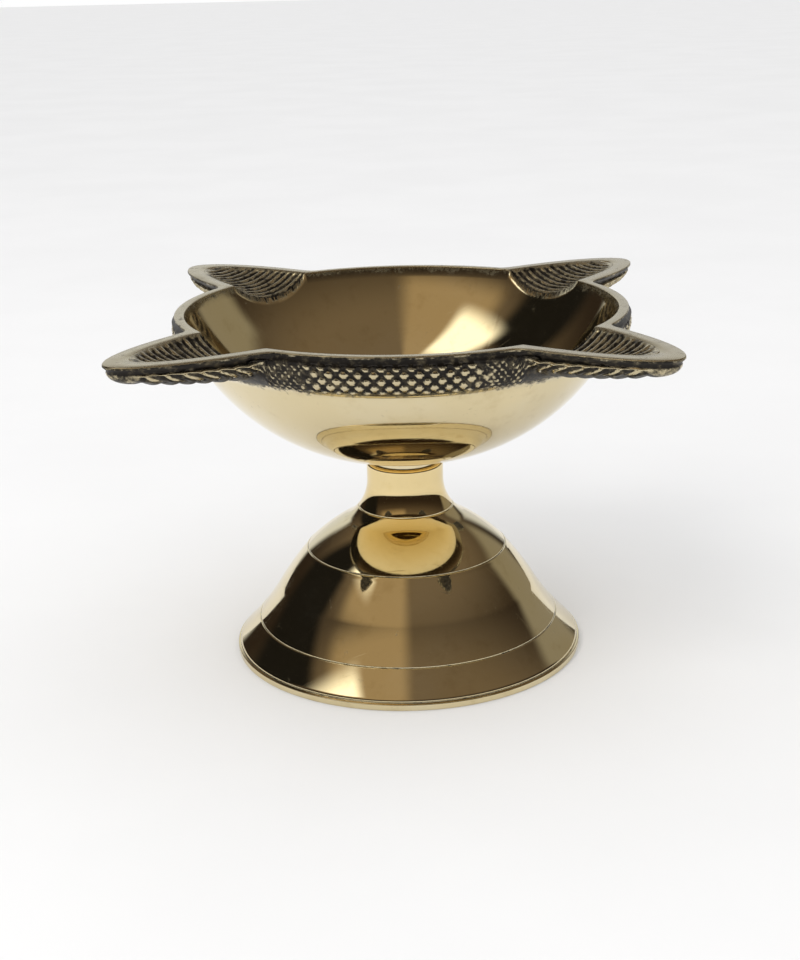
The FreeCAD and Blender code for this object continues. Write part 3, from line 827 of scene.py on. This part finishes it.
def roping(shape, run, below):
    """The roping under a spout's lip: how far each point is sunk, and how dark it is: patina in its hollows,
    painted shade under the lip and a painted highlight in the middle of each lobe.

    Run is measured from the spout's tip towards the bowl, below from the lip downwards.
    """
    sizes = shape.sizes
    slope = sizes.rope_lean * below + sizes.rope_sweep * smooth_step(below, 0.9 * MM, 2.4 * MM)
    strand = np.mod((run - slope) / sizes.rope_pitch, 1)
    share_down = below / np.maximum(shape.keel(sizes.spout_reach - run), 0.1 * MM)
    fade = 1 - smooth_step(share_down, 0.5, 0.82)
    crest = fade * np.exp(-((strand - 0.5) / 0.13) ** 2)
    lobe = np.sin(math.pi * np.mod(strand + 0.5, 1)) ** 1.5
    grow = 0.45 + 0.55 * smooth_step(run, 4 * MM, 16 * MM)
    top = grow * (sizes.rope_top + sizes.scallop * (1 - np.sin(math.pi * np.mod(strand + 0.6, 1))))
    arch = np.exp(-((below - top) / (0.2 * MM)) ** 2)
    raised = np.maximum(np.maximum(crest, arch), 0.62 * lobe)
    # Painted shade: the undercut between the lip and the scallops is sunk and darkened.
    under = 1 - smooth_step(below, top - 0.28 * MM, top - 0.08 * MM)
    sunk = np.maximum(1 - raised, under)
    # Patina darkens all but the crests and the scallops' arches; each lobe's middle is lighter, a painted
    # highlight.
    dark = np.clip(1.0 - 1.2 * np.maximum(crest, arch) - 0.22 * lobe, 0, 1)
    return sunk, np.maximum(dark, under)


def relief(shape, rows):
    """Which rows make the flank, how far its knurl and roping sink them, and how dark they are: patina in
    their hollows, painted shade under the lip and a painted highlight on the roping's lobes.
    """
    sizes = shape.sizes
    picked = [index for index, row in enumerate(rows) if row[2] == "flank"]
    height = np.array([rows[index][1] for index in picked])
    below = shape.lip_foot - height
    radius = np.array([rows[index][0] for index in picked])
    run = sizes.spout_reach - radius * shape.cos

    from_middle = QUARTER / 2 - np.abs(shape.off)
    across = from_middle * np.sign(shape.off) * sizes.band_radius
    ends = smooth_step(from_middle, math.radians(15), math.radians(25))
    band = knurl(shape, across, below, ends)
    rope, rope_dark = roping(shape, run, below)
    spout = smooth_step(shape.belly - sizes.band_radius, 0.3 * MM, 2.2 * MM)
    tip = smooth_step(run, 1.5 * MM, 5.0 * MM)
    band_sunk = band * sizes.knurl_depth * (1 - 0.5 * ends)
    sunk = band_sunk * (1 - spout) + rope * sizes.rope_depth * tip * spout
    hollow = band * (1 - spout) + (rope_dark * tip + 0.45 * (1 - tip)) * spout
    return picked, sunk, hollow


def bowl_columns(sizes):
    """Directions of the mesh's columns: evenly spaced along the rim's outline, closer on the spouts."""
    fine = FIRST_SPOUT + np.linspace(-QUARTER / 2, QUARTER / 2, 4001)
    shape = BowlShape(sizes, fine)
    edge = np.stack([shape.belly * np.cos(fine), shape.belly * np.sin(fine)])
    hops = np.linalg.norm(np.diff(edge, axis=1), axis=0)
    on_spout = shape.belly[1:] > sizes.band_radius + 0.2 * MM
    travelled = np.concatenate([[0], np.cumsum(hops * np.where(on_spout, 1.4, 1.0))])
    even = np.linspace(0, travelled[-1], QUARTER_COLUMNS, endpoint=False)
    quarter = np.interp(even, travelled, fine)
    return np.concatenate([quarter + QUARTER * spout for spout in range(SPOUTS)])


def bowl_surface(shape):
    """Positions of every row and column of the bowl, and the marks that its material reads."""
    rows = bowl_rows(shape)
    radius = np.array([row[0] for row in rows])
    height = np.array([row[1] for row in rows])
    place = np.stack([radius * np.cos(shape.columns), radius * np.sin(shape.columns), height], axis=-1)
    hollow = np.array([row[3] for row in rows])
    zones = [row[2] for row in rows]
    hollow[[zone == "flank" for zone in zones]] = 0

    down = np.gradient(place, axis=0)
    round_ = np.roll(place, -1, axis=1) - np.roll(place, 1, axis=1)
    normal = np.cross(down, round_)
    normal /= np.linalg.norm(normal, axis=-1, keepdims=True) + 1e-12
    picked, sunk, dark = relief(shape, rows)
    outward = np.stack([np.cos(shape.columns), np.sin(shape.columns), np.zeros_like(shape.columns)], axis=-1)
    facing = np.sign(np.sum(normal[picked] * (outward * 0.6 - np.array([0, 0, 0.4])), axis=-1, keepdims=True))
    place[picked] -= normal[picked] * facing * sunk[..., None]
    hollow[picked] = dark

    cut = np.zeros_like(hollow)
    satin = np.zeros_like(hollow)
    painted_reflection = np.zeros_like(hollow)
    for index, zone in enumerate(zones):
        cut[index] = 1.0 if zone in ("channel", "flank", "lip") else 0.0
        satin[index] = 1.0 if zone == "margin" else 0.0
        hollow[index] += 0.14 * (zone == "margin")
        # Painted reflection: amber on the underside near the foot, where the bowl mirrors the pedestal.
        if zone in ("side", "foot"):
            painted_reflection[index] = 1 - smooth_step(radius[index], 8 * MM, 22 * MM)
    return place, {"hollow": hollow, "cut": cut, "satin": satin, "painted_reflection": painted_reflection}, zones


class DIYA_OT_bowl(bpy.types.Operator):
    """Turn the bowl, draw out its spouts, and cut its knurl, roping and ribs"""

    bl_idname = "diya.bowl"
    bl_label = "Bowl"

    def execute(self, context):
        columns = bowl_columns(context.scene.diya_bowl)
        shape = BowlShape(context.scene.diya_bowl, columns)
        place, marks, zones = bowl_surface(shape)

        bm = bmesh.new()
        profile = [(math.hypot(x, y), z) for x, y, z in place[:, 0]]
        row_of, column_of = turn_profile(bm, profile, SECTORS, len(columns) // SECTORS)
        layers = {key: bm.verts.layers.float.new(key) for key in marks}
        for vert in bm.verts:
            row, column = vert[row_of], vert[column_of]
            vert.co = place[row, column]
            for key, layer in layers.items():
                vert[layer] = marks[key][row, column]
        bmesh.ops.remove_doubles(bm, verts=bm.verts, dist=2e-6)
        thin_out(bm, zones, row_of, column_of)
        tidy(bm, 2e-6)
        finished("bowl_cast", bm, brass("Polished brass", lines=0.22), "bowl", "bowl_brass", "bowl")
        return {"FINISHED"}


def thin_out(bm, zones, row_of, column_of):
    """Keeps every fourth column where the bowl is smooth, and every second one in the channels."""
    smooth = {index for index, zone in enumerate(zones) if zone in ("cavity", "side", "foot")}
    ribbed = {index for index, zone in enumerate(zones) if zone == "channel"}
    going = []
    for edge in bm.edges:
        rows = {vert[row_of] for vert in edge.verts}
        columns = {vert[column_of] for vert in edge.verts if vert.co.xy.length > 1e-5}
        for area, kept in ((smooth, 4), (ribbed, 2)):
            inside = rows <= area and not rows & {min(area), max(area)}
            if len(rows) == 2 and inside and all(column % kept for column in columns):
                going.append(edge)
    bmesh.ops.dissolve_edges(bm, edges=going, use_verts=True)


# ---------------------------------------------------------------- fittings and stage


class DIYA_OT_fittings(bpy.types.Operator):
    """Give the seat ring and the threaded stud their finishes"""

    bl_idname = "diya.fittings"
    bl_label = "Ring and stud"

    def execute(self, context):
        finishes = {
            "seat_ring": brass("Ring brass", roughness=0.16, lines=0.6),
            "bowl_stud": brass("Stud brass", roughness=0.24, haze=0.12, lines=0.5, tarnish=0.6),
        }
        for name, material in finishes.items():
            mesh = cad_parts[name].data
            mesh.materials.clear()
            mesh.materials.append(material)
        return {"FINISHED"}


# The screens and the soft light that the brass mirrors. Each has its middle and half-width round the lamp,
# its low and high edge and its softness, in degrees, and then its colour.
SCREENS = (
    ((-34, 26, 42, 90, 16), (0.43, 0.325, 0.20)),  # warm, overhead
    ((-104, 16, -20, 50, 12), (0.012, 0.011, 0.01)),  # black, on the left
    ((-68, 15, 56, 72, 13), (1.9, 1.85, 1.7)),  # soft light
    ((180, 18, -90, 24, 10), (0.72, 0.74, 0.76)),  # pale, behind the lamp on the right
    ((-180, 30, -90, 22, 8), (0.80, 0.82, 0.82)),  # pale, behind the lamp on the left
    ((132, 12, -90, 26, 10), (0.30, 0.27, 0.21)),  # khaki, behind the lamp far to the right
)
STUDIO_LOW = (0.03, 0.021, 0.015, 1)
STUDIO_HIGH = (0.19, 0.145, 0.10, 1)


def studio(world):
    """A white studio. The brass mirrors its dim upper part, one soft light and the screens round it."""
    world.use_nodes = True
    tree = world.node_tree
    tree.nodes.clear()
    way = node(tree, "ShaderNodeTexCoord").outputs["Generated"]
    split = node(tree, "ShaderNodeSeparateXYZ")
    wire(tree, way, split.inputs[0])
    ahead = math_node(tree, "MULTIPLY", split.outputs[1], -1.0)
    turn = math_node(tree, "DEGREES", math_node(tree, "ARCTAN2", split.outputs[0], ahead))
    lift = math_node(tree, "DEGREES", math_node(tree, "ARCSINE", split.outputs[2]))

    def patch(middle, half, low, high, soft):
        """The mask of a soft-edged screen."""
        away = math_node(tree, "ABSOLUTE", math_node(tree, "SUBTRACT", turn, middle))
        side = map_range(tree, away, half, half + soft, 1.0, 0.0)
        above = map_range(tree, lift, low - soft, low)
        below = map_range(tree, lift, high, high + soft, 1.0, 0.0)
        return math_node(tree, "MULTIPLY", side, math_node(tree, "MULTIPLY", above, below))

    upper = map_range(tree, lift, 8, 58)
    shade = mix_colour(tree, upper, STUDIO_LOW, STUDIO_HIGH)
    for place, tint in SCREENS:
        shade = mix_colour(tree, patch(*place), shade, tint + (1,))
    path = node(tree, "ShaderNodeLightPath")
    seen = mix_colour(tree, path.outputs["Is Glossy Ray"], (1.0, 1.0, 1.0, 1), shade)
    light = node(tree, "ShaderNodeBackground", {"Strength": 1.0})
    wire(tree, seen, light.inputs["Color"])
    wire(tree, light.outputs[0], node(tree, "ShaderNodeOutputWorld").inputs["Surface"])


def floor_material(colour_value):
    """A plain pale floor with a faint drift of tone."""
    material = bpy.data.materials.new("Pale floor")
    material.use_nodes = True
    tree = material.node_tree
    shader = tree.nodes["Principled BSDF"]
    shader.inputs["Roughness"].default_value = 0.85
    shader.inputs["Specular IOR Level"].default_value = 0.2
    where = node(tree, "ShaderNodeTexCoord").outputs["Object"]
    drift = map_range(tree, noise(tree, where, 14.0), 0.3, 0.7)
    darker = tuple(channel * 0.975 for channel in colour_value) + (1,)
    wire(tree, mix_colour(tree, drift, darker, tuple(colour_value) + (1,)), shader.inputs["Base Color"])
    return material


class DIYA_OT_stage(bpy.types.Operator):
    """Set the camera, the light and the pale floor"""

    bl_idname = "diya.stage"
    bl_label = "Stage"

    def execute(self, context):
        stage = context.scene.diya_stage
        self.add_camera(context, stage)
        bm = bmesh.new()
        bmesh.ops.create_grid(bm, x_segments=1, y_segments=1, size=stage.floor_size)
        mesh = bpy.data.meshes.new("floor")
        bm.to_mesh(mesh)
        bm.free()
        floor = bpy.data.objects.new("floor", mesh)
        mesh.materials.append(floor_material(stage.floor))
        context.scene.collection.objects.link(floor)

        world = context.scene.world or bpy.data.worlds.new("Studio")
        context.scene.world = world
        context.scene.view_settings.view_transform = "Standard"
        studio(world)
        self.add_key_light(context)
        return {"FINISHED"}

    def add_camera(self, context, stage):
        data = bpy.data.cameras.new("Camera")
        data.lens = stage.lens
        data.clip_start = 0.005
        camera = bpy.data.objects.new("Camera", data)
        looks = Matrix.Rotation(math.pi / 2 - stage.pitch, 4, "X") @ Matrix.Rotation(stage.roll, 4, "Z")
        place = Matrix.Translation((0, -stage.distance, stage.height))
        camera.matrix_world = (
            Matrix.Rotation(stage.swing, 4, "Z") @ place @ Matrix.Rotation(stage.aim, 4, "Z") @ looks
        )
        context.scene.collection.objects.link(camera)
        context.scene.camera = camera

    def add_key_light(self, context):
        """A soft light from the upper left; the brass does not mirror it."""
        place = (-0.35, -0.45, 0.6)
        data = bpy.data.lights.new("Key", "AREA")
        data.shape = "DISK"
        data.size = 0.45
        data.energy = 1.6
        data.color = (1.0, 0.98, 0.95)
        light = bpy.data.objects.new("Key", data)
        light.visible_glossy = False
        aim = (-Vector(place)).to_track_quat("-Z", "Y").to_matrix().to_4x4()
        light.matrix_world = Matrix.Translation(place) @ aim
        context.scene.collection.objects.link(light)


class DIYA_PT_panel(bpy.types.Panel):
    """Lists the lamp's pieces and their sizes"""

    bl_idname = "DIYA_PT_panel"
    bl_label = "Four-wick diya"
    bl_space_type = "VIEW_3D"
    bl_region_type = "UI"
    bl_category = "Diya"

    def draw(self, context):
        for operator in OPERATORS:
            self.layout.operator(operator.bl_idname)
        for key in GROUPS:
            box = self.layout.box()
            settings = getattr(context.scene, key)
            for name in settings.__annotations__:
                box.prop(settings, name)


OPERATORS = (DIYA_OT_stage, DIYA_OT_pedestal, DIYA_OT_fittings, DIYA_OT_bowl)
CLASSES = (*GROUPS.values(), *OPERATORS, DIYA_PT_panel)


def register():
    for cls in CLASSES:
        bpy.utils.register_class(cls)
    for key, cls in GROUPS.items():
        setattr(bpy.types.Scene, key, PointerProperty(type=cls))


def unregister():
    for key in GROUPS:
        delattr(bpy.types.Scene, key)
    for cls in reversed(CLASSES):
        bpy.utils.unregister_class(cls)


def main():
    register()
    for operator in OPERATORS:
        group_name, name = operator.bl_idname.split(".")
        getattr(getattr(bpy.ops, group_name), name)()


if __name__ == "__main__":
    main()
